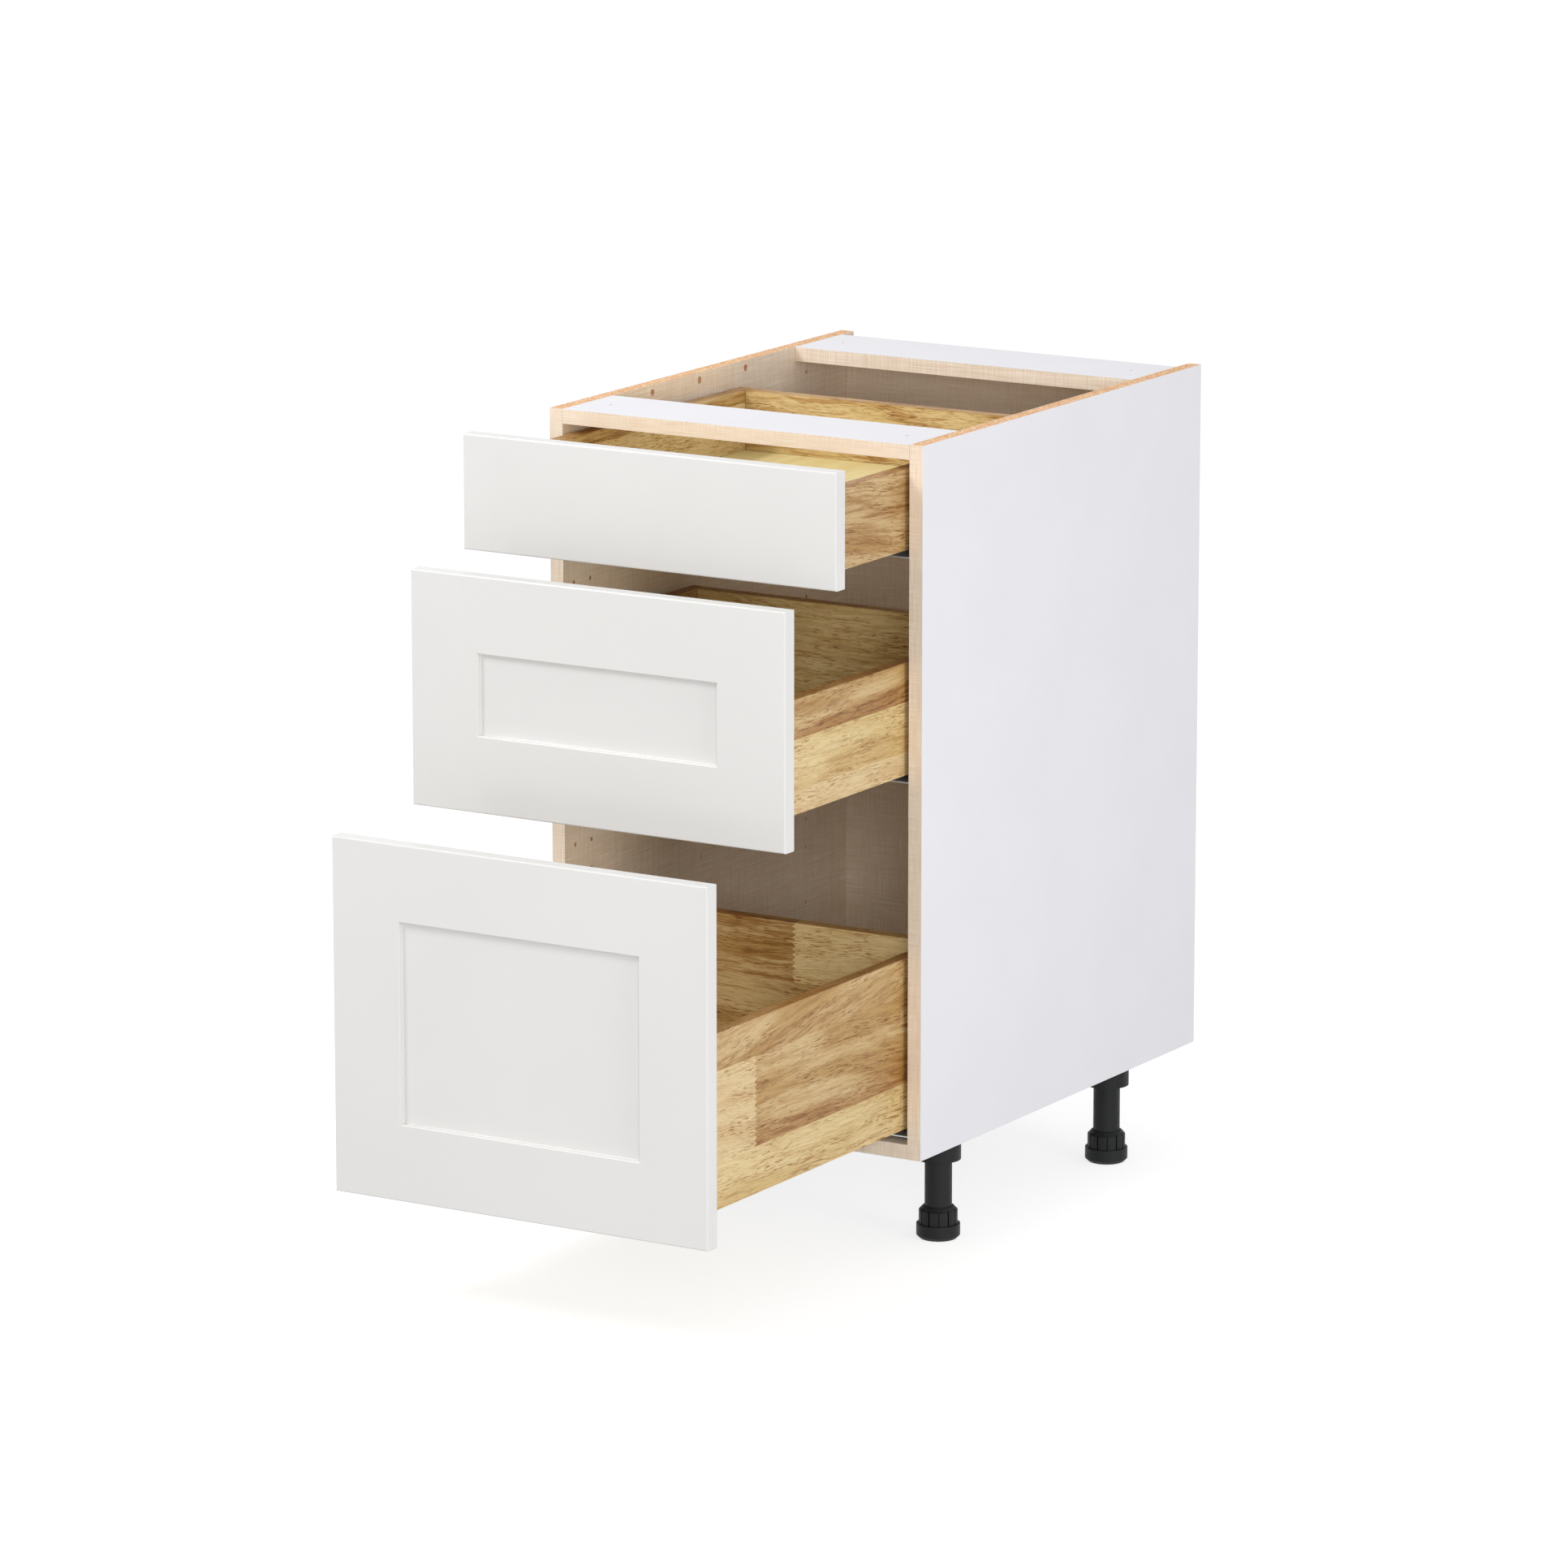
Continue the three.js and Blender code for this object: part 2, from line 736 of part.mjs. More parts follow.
for (const { word, side } of sides) {
  for (const [end, y] of [["front", legFromFront], ["rear", rearLegY]]) {
    const leg = new THREE.Group();
    leg.position.set(side * legReach, y, 0);
    cabinet.add(leg);
    place(leg, `${end}_${word}_leg_socket`, legSocket(), blackPlastic);
    place(leg, `${end}_${word}_leg_column`, legColumn(), blackPlastic);
    place(leg, `${end}_${word}_leveling_foot`, legFoot(), blackPlastic);
  }
}

for (const { name, base, height, boxBase, boxHeight, pulledOut, framed } of drawers) {
  const box = new THREE.Group();
  box.position.set(0, -frontGap - pulledOut, boxBase);
  carcase.add(box);

  const frontWidth = cabinetWidth - 2 * frontSideReveal;
  const front = place(
    box, `${name}_drawer_front`, drawerFront(frontWidth, height - 2 * frontReveal, framed), paintedFront,
  );
  front.position.z = base + frontReveal - boxBase;
  place(box, `${name}_box_front`, boxFront(boxHeight), rubberwood);
  place(box, `${name}_box_back`, boxBack(boxHeight), rubberwood);
  place(box, `${name}_box_bottom`, boxBottom(), plywood);

  const fixedRails = new THREE.Group();
  fixedRails.position.z = boxBase;
  carcase.add(fixedRails);
  const middleRails = new THREE.Group();
  middleRails.position.set(0, -pulledOut / 2, boxBase);
  carcase.add(middleRails);
  for (const { word, side } of sides) {
    place(box, `${name}_box_${word}_side`, boxSide(side, boxHeight), rubberwood);
    place(fixedRails, `${name}_${word}_cabinet_rail`, cabinetRail(side), zincSteel);
    place(middleRails, `${name}_${word}_middle_rail`, middleRail(side), zincSteel);
    place(box, `${name}_${word}_drawer_rail`, drawerRail(side), zincSteel);
    place(box, `${name}_${word}_release_lever`, releaseLever(side), leverPlastic);
  }
}

export default cabinet;
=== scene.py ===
"""A three-drawer kitchen base cabinet on plastic legs, with its drawers pulled out in steps.

Everything is in metres, in the frame of the CAD: x runs across the cabinet, y from the drawer fronts
to the back, z up from the floor. Places come from the boxes of the CAD nodes.
"""

import math
import random

import bpy
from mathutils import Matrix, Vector


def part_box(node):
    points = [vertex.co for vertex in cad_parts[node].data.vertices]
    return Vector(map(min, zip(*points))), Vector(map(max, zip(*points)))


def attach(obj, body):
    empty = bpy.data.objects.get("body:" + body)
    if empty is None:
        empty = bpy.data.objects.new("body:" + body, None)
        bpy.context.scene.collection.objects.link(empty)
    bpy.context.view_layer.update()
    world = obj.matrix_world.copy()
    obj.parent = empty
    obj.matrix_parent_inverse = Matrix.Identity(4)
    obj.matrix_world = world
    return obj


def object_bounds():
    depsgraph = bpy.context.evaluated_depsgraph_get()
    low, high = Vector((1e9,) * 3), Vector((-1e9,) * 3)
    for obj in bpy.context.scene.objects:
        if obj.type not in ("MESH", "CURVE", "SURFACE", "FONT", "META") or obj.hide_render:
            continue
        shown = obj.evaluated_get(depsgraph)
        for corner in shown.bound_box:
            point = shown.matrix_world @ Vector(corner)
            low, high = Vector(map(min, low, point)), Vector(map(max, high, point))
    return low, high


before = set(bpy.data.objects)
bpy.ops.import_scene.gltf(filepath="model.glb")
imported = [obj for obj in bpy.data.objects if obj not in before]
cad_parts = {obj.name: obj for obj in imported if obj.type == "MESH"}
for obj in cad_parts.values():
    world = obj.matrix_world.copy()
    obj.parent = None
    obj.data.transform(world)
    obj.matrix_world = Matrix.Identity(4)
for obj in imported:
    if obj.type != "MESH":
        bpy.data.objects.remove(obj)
cad_low, cad_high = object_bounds()

MM = 0.001
DRAWERS = ("top", "middle", "bottom")
SIDES = (("left", -1), ("right", 1))

# ---------------------------------------------------------------- building with nodes


def colour(red, green, blue):
    """The linear RGBA of a colour that is given as 0 to 255 on a screen."""
    def linear(value):
        share = value / 255
        return share / 12.92 if share <= 0.04045 else ((share + 0.055) / 1.055) ** 2.4
    return (linear(red), linear(green), linear(blue), 1)


def grey(value):
    return (value, value, value, 1)


# Where a mix node has its sockets for the factor and the two values, and its result.
COLOUR_MIX_INPUTS, COLOUR_MIX_OUTPUT = (0, 6, 7), 2
NUMBER_MIX_INPUTS, NUMBER_MIX_OUTPUT = (0, 2, 3), 0


class Look:
    """A material and short calls that add nodes to it.

    What a call takes is a number or another call's result.
    """

    def __init__(self, name, **constants):
        self.material = bpy.data.materials.new(name)
        self.material.use_nodes = True
        self.tree = self.material.node_tree
        self.tree.nodes.clear()
        output = self.add("ShaderNodeOutputMaterial")
        self.shader = self.add("ShaderNodeBsdfPrincipled")
        self.tree.links.new(self.shader.outputs["BSDF"], output.inputs["Surface"])
        for socket, value in constants.items():
            self.shader.inputs[socket.replace("_", " ")].default_value = value
        coordinates = self.add("ShaderNodeTexCoord").outputs
        self.place, self.normal = coordinates["Object"], coordinates["Normal"]
        self.x, self.y, self.z = self.add("ShaderNodeSeparateXYZ", self.place).outputs

    def add(self, kind, *inputs, **settings):
        node = self.tree.nodes.new(kind)
        for key, value in settings.items():
            setattr(node, key, value)
        for socket, value in zip(node.inputs, inputs):
            self.feed(socket, value)
        return node

    def feed(self, socket, value):
        if isinstance(value, bpy.types.NodeSocket):
            self.tree.links.new(value, socket)
        elif value is not None:
            socket.default_value = value

    def math(self, operation, *inputs):
        return self.add("ShaderNodeMath", *inputs, operation=operation).outputs[0]

    def above(self, value, edge):
        return self.math("GREATER_THAN", value, edge)

    def below(self, value, edge):
        return self.math("LESS_THAN", value, edge)

    def either(self, *masks):
        result = masks[0]
        for mask in masks[1:]:
            result = self.math("MAXIMUM", result, mask)
        return result

    def soft(self, value, low, high, start=0.0, end=1.0):
        """Goes smoothly from start to end as value goes from low to high."""
        inputs = (value, low, high, start, end)
        return self.add("ShaderNodeMapRange", *inputs, interpolation_type="SMOOTHSTEP").outputs[0]

    def join(self, x, y, z):
        return self.add("ShaderNodeCombineXYZ", x, y, z).outputs[0]

    def stretch(self, scale, place=None, shift=(0, 0, 0)):
        place = self.place if place is None else place
        node = self.add("ShaderNodeVectorMath", place, scale, shift, operation="MULTIPLY_ADD")
        return node.outputs[0]

    def noise(self, place, detail=2.0, roughness=0.5, distortion=0.0):
        node = self.add("ShaderNodeTexNoise", place)
        node.inputs["Scale"].default_value = 1.0
        node.inputs["Detail"].default_value = detail
        node.inputs["Roughness"].default_value = roughness
        node.inputs["Distortion"].default_value = distortion
        return node.outputs[0]

    def chips(self, place):
        """A random colour for each cell of a scatter of small cells."""
        node = self.add("ShaderNodeTexVoronoi", place)
        node.inputs["Scale"].default_value = 1.0
        return self.add("ShaderNodeSeparateColor", node.outputs["Color"]).outputs[0]

    def ramp(self, factor, *stops, interpolation="LINEAR"):
        node = self.add("ShaderNodeValToRGB", factor)
        node.color_ramp.interpolation = interpolation
        elements = node.color_ramp.elements
        for _ in range(len(stops) - 2):
            elements.new(0.5)
        for element, (place, tone) in zip(elements, stops):
            element.position = place
            element.color = tone
        return node.outputs[0]

    def mix(self, factor, first, second, blend="MIX"):
        node = self.add("ShaderNodeMix", data_type="RGBA", blend_type=blend)
        for socket, value in zip(COLOUR_MIX_INPUTS, (factor, first, second)):
            self.feed(node.inputs[socket], value)
        return node.outputs[COLOUR_MIX_OUTPUT]

    def mix_numbers(self, factor, first, second):
        node = self.add("ShaderNodeMix", data_type="FLOAT")
        for socket, value in zip(NUMBER_MIX_INPUTS, (factor, first, second)):
            self.feed(node.inputs[socket], value)
        return node.outputs[NUMBER_MIX_OUTPUT]

    def bump(self, height, distance):
        node = self.add("ShaderNodeBump")
        node.inputs["Distance"].default_value = distance
        self.feed(node.inputs["Height"], height)
        return node.outputs[0]

    def finish(self, base, roughness, normal=None):
        self.feed(self.shader.inputs["Base Color"], base)
        self.feed(self.shader.inputs["Roughness"], roughness)
        if normal is not None:
            self.feed(self.shader.inputs["Normal"], normal)
        return self.material


# ---------------------------------------------------------------- laminated boards

LAMINATE = 0.4 * MM
CHIP_RELIEF = 0.12 * MM
WEAVE_RELIEF = 0.12


def white_laminate(look):
    cloud = look.noise(look.stretch((9, 9, 9)), detail=3)
    return look.ramp(cloud, (0.35, colour(232, 231, 236)), (0.65, colour(234, 233, 238)))


def linen_laminate(look):
    """A printed weave: fine broken threads along and across every face, over a faint cloud."""
    thread, run = 1700, 22
    directions = ((thread, run, run), (run, thread, run), (run, run, thread))
    facing = look.add("ShaderNodeSeparateXYZ", look.normal).outputs
    weave = None
    for scale, toward in zip(directions, facing):
        threads = look.noise(look.stretch(scale), detail=2, roughness=0.6)
        share = look.math("SUBTRACT", 1.0, look.math("ABSOLUTE", toward))
        threads = look.math("MULTIPLY", threads, share)
        weave = threads if weave is None else look.math("ADD", weave, threads)
    printed = look.ramp(
        look.soft(weave, 0.72, 1.24),
        (0.0, colour(224, 201, 177)),
        (0.35, colour(234, 215, 193)),
        (0.7, colour(240, 223, 203)),
        (1.0, colour(248, 237, 222)),
    )
    cloud = look.noise(look.stretch((45, 45, 45)), detail=2)
    return look.mix(look.soft(cloud, 0.3, 0.7, 0.0, 0.1), printed, colour(224, 199, 172)), weave


def raw_chipboard(look):
    """The cut edge of particleboard: flat chips in three browns, with darker dust between them."""
    chip = look.chips(look.stretch((520, 340, 520)))
    wood = look.ramp(
        chip,
        (0.0, colour(212, 154, 108)),
        (0.3, colour(230, 178, 130)),
        (0.65, colour(241, 199, 153)),
        (1.0, colour(251, 222, 186)),
    )
    dust = look.noise(look.stretch((900, 900, 900)), detail=2)
    return look.mix(look.soft(dust, 0.48, 0.62, 0.0, 0.45), wood, colour(196, 134, 90)), chip


def board_look(node, white, linen):
    """A particleboard panel, with white laminate on some faces, linen on others and bare chips elsewhere.

    A face is named by its axis and the side that it is on, such as x+ for the face with the highest x.
    """
    low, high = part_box(node)
    look = Look(node + "_laminate")
    axes = {"x": look.x, "y": look.y, "z": look.z}

    def near(face):
        axis = "xyz".index(face[0])
        if face[1] == "+":
            return look.above(axes[face[0]], high[axis] - LAMINATE)
        return look.below(axes[face[0]], low[axis] + LAMINATE)

    raw, chip = raw_chipboard(look)
    printed, weave = linen_laminate(look)
    is_linen = look.either(*map(near, linen))
    is_white = look.either(*map(near, white))
    base = look.mix(is_linen, raw, printed)
    base = look.mix(is_white, base, white_laminate(look))
    covered = look.either(is_linen, is_white)
    grain = look.noise(look.stretch((1400, 1400, 1400)), detail=1)
    shallow = look.math("MULTIPLY", look.math("ADD", weave, grain), WEAVE_RELIEF)
    relief = look.mix_numbers(covered, chip, shallow)
    roughness = look.soft(covered, 0.0, 1.0, 0.85, 0.42)
    return look.finish(base, roughness, look.bump(relief, CHIP_RELIEF))


# ---------------------------------------------------------------- painted fronts


def painted_front():
    """Sprayed white paint with a faint orange peel under a clear coat."""
    look = Look("white_paint", Coat_Weight=0.6, Coat_Roughness=0.12)
    cloud = look.noise(look.stretch((7, 7, 7)), detail=2)
    base = look.ramp(cloud, (0.35, colour(221, 220, 218)), (0.65, colour(223, 222, 220)))
    peel = look.noise(look.stretch((260, 260, 260)), detail=2)
    roughness = look.soft(peel, 0.3, 0.7, 0.42, 0.5)
    return look.finish(base, roughness, look.bump(peel, 0.02 * MM))


# ---------------------------------------------------------------- solid wood boxes

PALE = colour(236, 214, 162)
CREAM = colour(217, 189, 141)
STRAW = colour(219, 194, 136)
HONEY = colour(188, 152, 93)
AMBER = colour(180, 141, 83)
TONES = (CREAM, STRAW, HONEY, AMBER)

PALE_GRAIN = colour(240, 221, 176)
FOOT_BROWN = (0.74, 0.56, 0.36, 1)
FLAME_BROWN = (0.64, 0.47, 0.28, 1)
STREAK_BROWN = (0.64, 0.46, 0.26, 1)
PORE_BROWN = (0.52, 0.34, 0.18, 1)
FIBRE_BROWN = (0.62, 0.50, 0.36, 1)
RIM_BROWN = (0.66, 0.47, 0.30, 1)
END_BROWN = (0.62, 0.46, 0.30, 1)

FINGER_PITCH = 6.2 * MM
FINGER_DEPTH = 4.5 * MM
SLANT_RANGE = 0.36
BAND_HEIGHT = 30 * MM
BAND_SWAY = 60 * MM
GRAIN_SWAY = 12 * MM
END_SKIN = 0.4 * MM
NARROWEST_STAVE, WIDEST_STAVE = 42, 78
SHARE_WITH_JOINT = 0.7


class Stave:
    """One strip of an edge-glued board, with its upper edge and the lengths that are finger-jointed in it.

    A length is (tone, strength of its brown figure, slant of its grain, strength of its brown foot).
    Cuts are the places of the finger joints.
    """

    def __init__(self, top, lengths, cuts=()):
        self.top = top
        self.lengths = lengths
        self.cuts = cuts


def random_staves(name, low, high, along):
    """Strips for a board whose own strips don't show in the photo, drawn from the board's name."""
    draw = random.Random(name)
    staves = []
    level = low.z
    start, end = low[along], high[along]
    while level < high.z:
        level += draw.uniform(NARROWEST_STAVE, WIDEST_STAVE) * MM
        cuts = []
        if draw.random() < SHARE_WITH_JOINT:
            cuts.append(start + (end - start) * draw.uniform(0.25, 0.75))
        lengths = [
            (draw.choice(TONES), draw.uniform(0.2, 0.8), draw.uniform(-0.08, 0.08), draw.uniform(0, 0.6))
            for _ in range(len(cuts) + 1)
        ]
        staves.append(Stave(level, lengths, cuts))
    return staves


def wood_look(node, along, staves):
    """Edge-glued rubberwood: finger-jointed staves, a tone for each length, flames, streaks and pores."""
    low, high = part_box(node)
    look = Look(node + "_rubberwood")
    axes = [look.x, look.y, look.z]
    u, v, w = axes[along], look.z, axes[1 - along]

    fold = look.math("PINGPONG", v, FINGER_PITCH / 2)
    zigzag = look.math("MULTIPLY_ADD", fold, 2 * FINGER_DEPTH / FINGER_PITCH, u)

    index, foot, count = 0.5, low.z, 0
    for number, stave in enumerate(staves):
        above_here = look.above(v, stave.top)
        band = 1.0
        if number:
            below = staves[number - 1]
            inside = look.above(v, below.top)
            index = look.math("MULTIPLY_ADD", inside, float(len(below.lengths)), index)
            bottom = staves[number - 2].top if number > 1 else low.z
            foot = look.math("MULTIPLY_ADD", inside, below.top - bottom, foot)
            band = inside
        band = look.math("SUBTRACT", band, above_here)
        for cut in stave.cuts:
            index = look.math("MULTIPLY_ADD", look.above(zigzag, cut), band, index)
        count += len(stave.lengths)
    lengths = [length for stave in staves for length in stave.lengths]
    draw = random.Random(node)
    share = look.math("DIVIDE", index, float(count))
    tone_stops = [(i / count, length[0]) for i, length in enumerate(lengths)]
    trait_stops = [
        (i / count, (length[1], 0.5 + length[2] / SLANT_RANGE, draw.random(), 1))
        for i, length in enumerate(lengths)
    ]
    band_stops = [(i / count, grey(length[3])) for i, length in enumerate(lengths)]
    for stops in (tone_stops, trait_stops, band_stops):
        if count == 1:
            stops.append((1.0, stops[0][1]))
    tone = look.ramp(share, *tone_stops, interpolation="CONSTANT")
    traits = look.ramp(share, *trait_stops, interpolation="CONSTANT")
    brown_foot = look.ramp(share, *band_stops, interpolation="CONSTANT")
    figure, slant, offset = look.add("ShaderNodeSeparateColor", traits).outputs[:3]

    lean = look.math("MULTIPLY", look.math("SUBTRACT", slant, 0.5), SLANT_RANGE)
    slanted = look.math("MULTIPLY_ADD", u, lean, v)
    moved = look.join(
        look.math("MULTIPLY_ADD", offset, 7.0, u),
        look.math("MULTIPLY_ADD", offset, 3.0, slanted),
        look.math("MULTIPLY_ADD", offset, 5.0, w),
    )
    sway = look.noise(look.stretch((8, 14, 14), moved), detail=2)
    bend = look.join(0.0, look.math("MULTIPLY", sway, GRAIN_SWAY), 0.0)
    grain = look.add("ShaderNodeVectorMath", moved, bend, operation="ADD").outputs[0]

    broad = look.noise(look.stretch((5, 34, 30), grain, (3, 5, 7)), detail=2, roughness=0.5)
    flame = look.noise(look.stretch((14, 210, 140), grain), detail=4, roughness=0.68, distortion=0.3)
    streak = look.noise(look.stretch((34, 700, 450), grain, (1, 4, 2)), detail=3, roughness=0.62)
    dash = look.noise(look.stretch((80, 950, 700), grain), detail=1, roughness=0.5)
    crowd = look.noise(look.stretch((12, 60, 40), grain, (8, 2, 1)), detail=2)
    fibre = look.noise(look.stretch((40, 1700, 900), grain), detail=2, roughness=0.6)

    rise = look.math("SUBTRACT", v, foot)
    rise = look.math("MULTIPLY_ADD", look.math("SUBTRACT", broad, 0.5), BAND_SWAY, rise)
    banded = look.math("MULTIPLY", look.soft(rise, 0.0, BAND_HEIGHT, 1.0, 0.0), brown_foot)
    strength = look.math("MINIMUM", look.math("ADD", figure, banded), 1.0)

    base = look.mix(look.soft(broad, 0.38, 0.62, 0.0, 0.45), tone, PALE_GRAIN)
    base = look.mix(look.math("MULTIPLY", banded, 0.7), base, FOOT_BROWN, blend="MULTIPLY")
    flames = look.math("MULTIPLY", look.soft(flame, 0.46, 0.62), strength)
    base = look.mix(flames, base, FLAME_BROWN, blend="MULTIPLY")
    streaks = look.math("MULTIPLY", look.soft(streak, 0.48, 0.64), look.soft(crowd, 0.4, 0.6, 0.25, 0.8))
    base = look.mix(look.math("MULTIPLY", streaks, 0.8), base, STREAK_BROWN, blend="MULTIPLY")
    pores = look.math("MULTIPLY", look.soft(dash, 0.56, 0.66), look.soft(crowd, 0.38, 0.6, 0.3, 1.0))
    base = look.mix(pores, base, PORE_BROWN, blend="MULTIPLY")
    base = look.mix(look.soft(fibre, 0.3, 0.7, 0.0, 0.3), base, FIBRE_BROWN, blend="MULTIPLY")

    rim = look.above(look.z, high.z - END_SKIN)
    ends = look.either(look.below(u, low[along] + END_SKIN), look.above(u, high[along] - END_SKIN))
    base = look.mix(look.math("MULTIPLY", rim, 0.8), base, RIM_BROWN, blend="MULTIPLY")
    base = look.mix(look.math("MULTIPLY", ends, 0.7), base, END_BROWN, blend="MULTIPLY")
    height = look.math("SUBTRACT", look.math("MULTIPLY", fibre, 0.4), pores)
    roughness = look.soft(fibre, 0.3, 0.7, 0.42, 0.55)
    return look.finish(base, roughness, look.bump(height, 0.08 * MM))


def plywood_look():
    """The drawer bottoms: smooth yellow veneer with faint lines along the drawer."""
    look = Look("yellow_plywood")
    broad = look.noise(look.stretch((70, 3, 70)), detail=3, roughness=0.6, distortion=0.4)
    fine = look.noise(look.stretch((900, 25, 900)), detail=2)
    base = look.ramp(
        broad,
        (0.3, colour(228, 211, 146)),
        (0.5, colour(237, 221, 161)),
        (0.7, colour(244, 230, 176)),
    )
    base = look.mix(look.soft(fine, 0.4, 0.7, 0.0, 0.12), base, colour(186, 150, 84))
    return look.finish(base, look.soft(fine, 0.3, 0.7, 0.38, 0.48), look.bump(fine, 0.03 * MM))


# ---------------------------------------------------------------- metal and plastic


def zinc_look():
    """Zinc-plated sheet steel: faint rolling lines along the rail and a cloud in the plating."""
    look = Look("zinc_plated_steel", Metallic=0.85)
    cloud = look.noise(look.stretch((60, 60, 60)), detail=4, roughness=0.6)
    rolled = look.noise(look.stretch((900, 12, 900)), detail=2)
    both = look.math("MULTIPLY_ADD", rolled, 0.4, look.math("MULTIPLY", cloud, 0.6))
    base = look.ramp(both, (0.35, colour(196, 200, 202)), (0.65, colour(224, 227, 228)))
    return look.finish(base, look.soft(both, 0.35, 0.65, 0.33, 0.47), look.bump(rolled, 0.02 * MM))


def cast_look():
    """The cam fittings: grey die-cast zinc with a fine grain."""
    look = Look("cast_zinc", Metallic=1.0)
    grain = look.noise(look.stretch((1500, 1500, 1500)), detail=3)
    base = look.ramp(grain, (0.3, colour(150, 152, 154)), (0.7, colour(190, 192, 193)))
    return look.finish(base, look.soft(grain, 0.3, 0.7, 0.38, 0.55), look.bump(grain, 0.05 * MM))


def plastic_look(name, dark, light, low_gloss, high_gloss):
    """Moulded plastic with a fine spark-eroded grain."""
    look = Look(name, Specular_IOR_Level=0.2)
    cloud = look.noise(look.stretch((40, 40, 40)), detail=3)
    grain = look.noise(look.stretch((1600, 1600, 1600)), detail=2)
    base = look.ramp(cloud, (0.35, dark), (0.65, light))
    roughness = look.soft(cloud, 0.35, 0.65, low_gloss, high_gloss)
    return look.finish(base, roughness, look.bump(grain, 0.04 * MM))


def bumper_look():
    """The soft clear buttons on the backs of the fronts."""
    look = Look("clear_rubber", Transmission_Weight=0.55, IOR=1.45)
    cloud = look.noise(look.stretch((300, 300, 300)), detail=2)
    base = look.ramp(cloud, (0.3, colour(226, 228, 230)), (0.7, colour(240, 241, 242)))
    return look.finish(base, look.soft(cloud, 0.3, 0.7, 0.2, 0.3))


# ---------------------------------------------------------------- dressing the CAD nodes


WELD_REACH = 0.01 * MM
FLAT_ANGLE = 0.5
LEG_EDGE_ANGLE = 35


def dress(node, material):
    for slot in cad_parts[node].material_slots:
        slot.material = material


def weld(shape):
    """Joins a node's triangles where they meet, and joins the ones of a flat face into that face."""
    shape.modifiers.new("weld", "WELD").merge_threshold = WELD_REACH
    flat = shape.modifiers.new("faces", "DECIMATE")
    flat.decimate_type = "DISSOLVE"
    flat.angle_limit = math.radians(FLAT_ANGLE)


def smooth(node, angle):
    """Shades a node's round faces as one surface and keeps the edges that turn by more than the angle."""
    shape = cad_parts[node]
    shape.data.shade_smooth()
    weld(shape)
    split = shape.modifiers.new("edges", "EDGE_SPLIT")
    split.split_angle = math.radians(angle)


dress("left_side_panel", board_look("left_side_panel", white=["x-"], linen=["x+", "y-"]))
dress("right_side_panel", board_look("right_side_panel", white=["x+"], linen=["x-", "y-"]))
dress("bottom_panel", board_look("bottom_panel", white=["z-"], linen=["z+", "y-"]))
dress("back_panel", board_look("back_panel", white=["y+"], linen=["y-"]))
for name in ("front_stretcher", "rear_stretcher"):
    dress(name, board_look(name, white=["z+"], linen=["z-", "y-"]))

paint = painted_front()
plywood = plywood_look()
zinc = zinc_look()
cast = cast_look()
black = plastic_look("black_plastic", colour(27, 29, 28), colour(33, 35, 34), 0.45, 0.55)
lever_grey = plastic_look("grey_plastic", colour(134, 138, 142), colour(146, 150, 153), 0.4, 0.5)
clear = bumper_look()

CARCASE_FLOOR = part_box("left_side_panel")[0].z
ALONG_X, ALONG_Y = 0, 1


def level(millimetres):
    """A height that is given from the underside of the carcase."""
    return CARCASE_FLOOR + millimetres * MM


KNOWN_STAVES = {
    "bottom_box_right_side": [
        Stave(level(81), [(STRAW, 0.25, 0.02, 0.3)]),
        Stave(level(176), [(CREAM, 0.2, 0.05, 0.0), (HONEY, 0.55, 0.03, 1.0)], [-385 * MM]),
        Stave(level(300), [(HONEY, 0.5, -0.14, 0.2)]),
    ],
    "middle_box_right_side": [
        Stave(level(437), [(CREAM, 0.2, 0.02, 0.0)]),
        Stave(level(490), [(STRAW, 0.25, 0.03, 0.5)]),
        Stave(level(600), [(HONEY, 0.5, -0.02, 0.9)]),
    ],
    "top_box_right_side": [
        Stave(level(690), [(AMBER, 0.7, 0.14, 0.0)]),
        Stave(level(760), [(AMBER, 0.8, 0.1, 0.2)]),
    ],
    "bottom_box_back": [
        Stave(level(150), [(HONEY, 0.7, 0.03, 0.3)]),
        Stave(level(240), [(HONEY, 1.0, -0.02, 0.5), (PALE, 0.35, -0.08, 0.0)], [24 * MM]),
    ],
    "middle_box_back": [
        Stave(level(470), [(PALE, 0.5, 0.0, 0.2)]),
        Stave(level(600), [(STRAW, 0.5, 0.02, 0.2)]),
    ],
    "top_box_back": [
        Stave(level(760), [(STRAW, 0.9, 0.0, 0.0)]),
    ],
    "top_box_left_side": [
        Stave(level(722), [(PALE, 0.1, 0.02, 0.0)]),
        Stave(level(760), [(STRAW, 0.3, 0.02, 0.6)]),
    ],
}

BOX_BOARDS = (
    ("box_front", ALONG_X),
    ("box_back", ALONG_X),
    ("box_left_side", ALONG_Y),
    ("box_right_side", ALONG_Y),
)

for drawer in DRAWERS:
    dress(f"{drawer}_drawer_front", paint)
    dress(f"{drawer}_box_bottom", plywood)
    for board, along in BOX_BOARDS:
        name = f"{drawer}_{board}"
        staves = KNOWN_STAVES.get(name) or random_staves(name, *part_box(name), along)
        dress(name, wood_look(name, along, staves))
    for side, _ in SIDES:
        for rail in ("cabinet_rail", "middle_rail", "drawer_rail"):
            dress(f"{drawer}_{side}_{rail}", zinc)
        dress(f"{drawer}_{side}_release_lever", lever_grey)
for end in ("front", "rear"):
    for side, _ in SIDES:
        for piece in ("leg_socket", "leg_column", "leveling_foot"):
            dress(f"{end}_{side}_{piece}", black)
            smooth(f"{end}_{side}_{piece}", LEG_EDGE_ANGLE)


# ---------------------------------------------------------------- fasteners

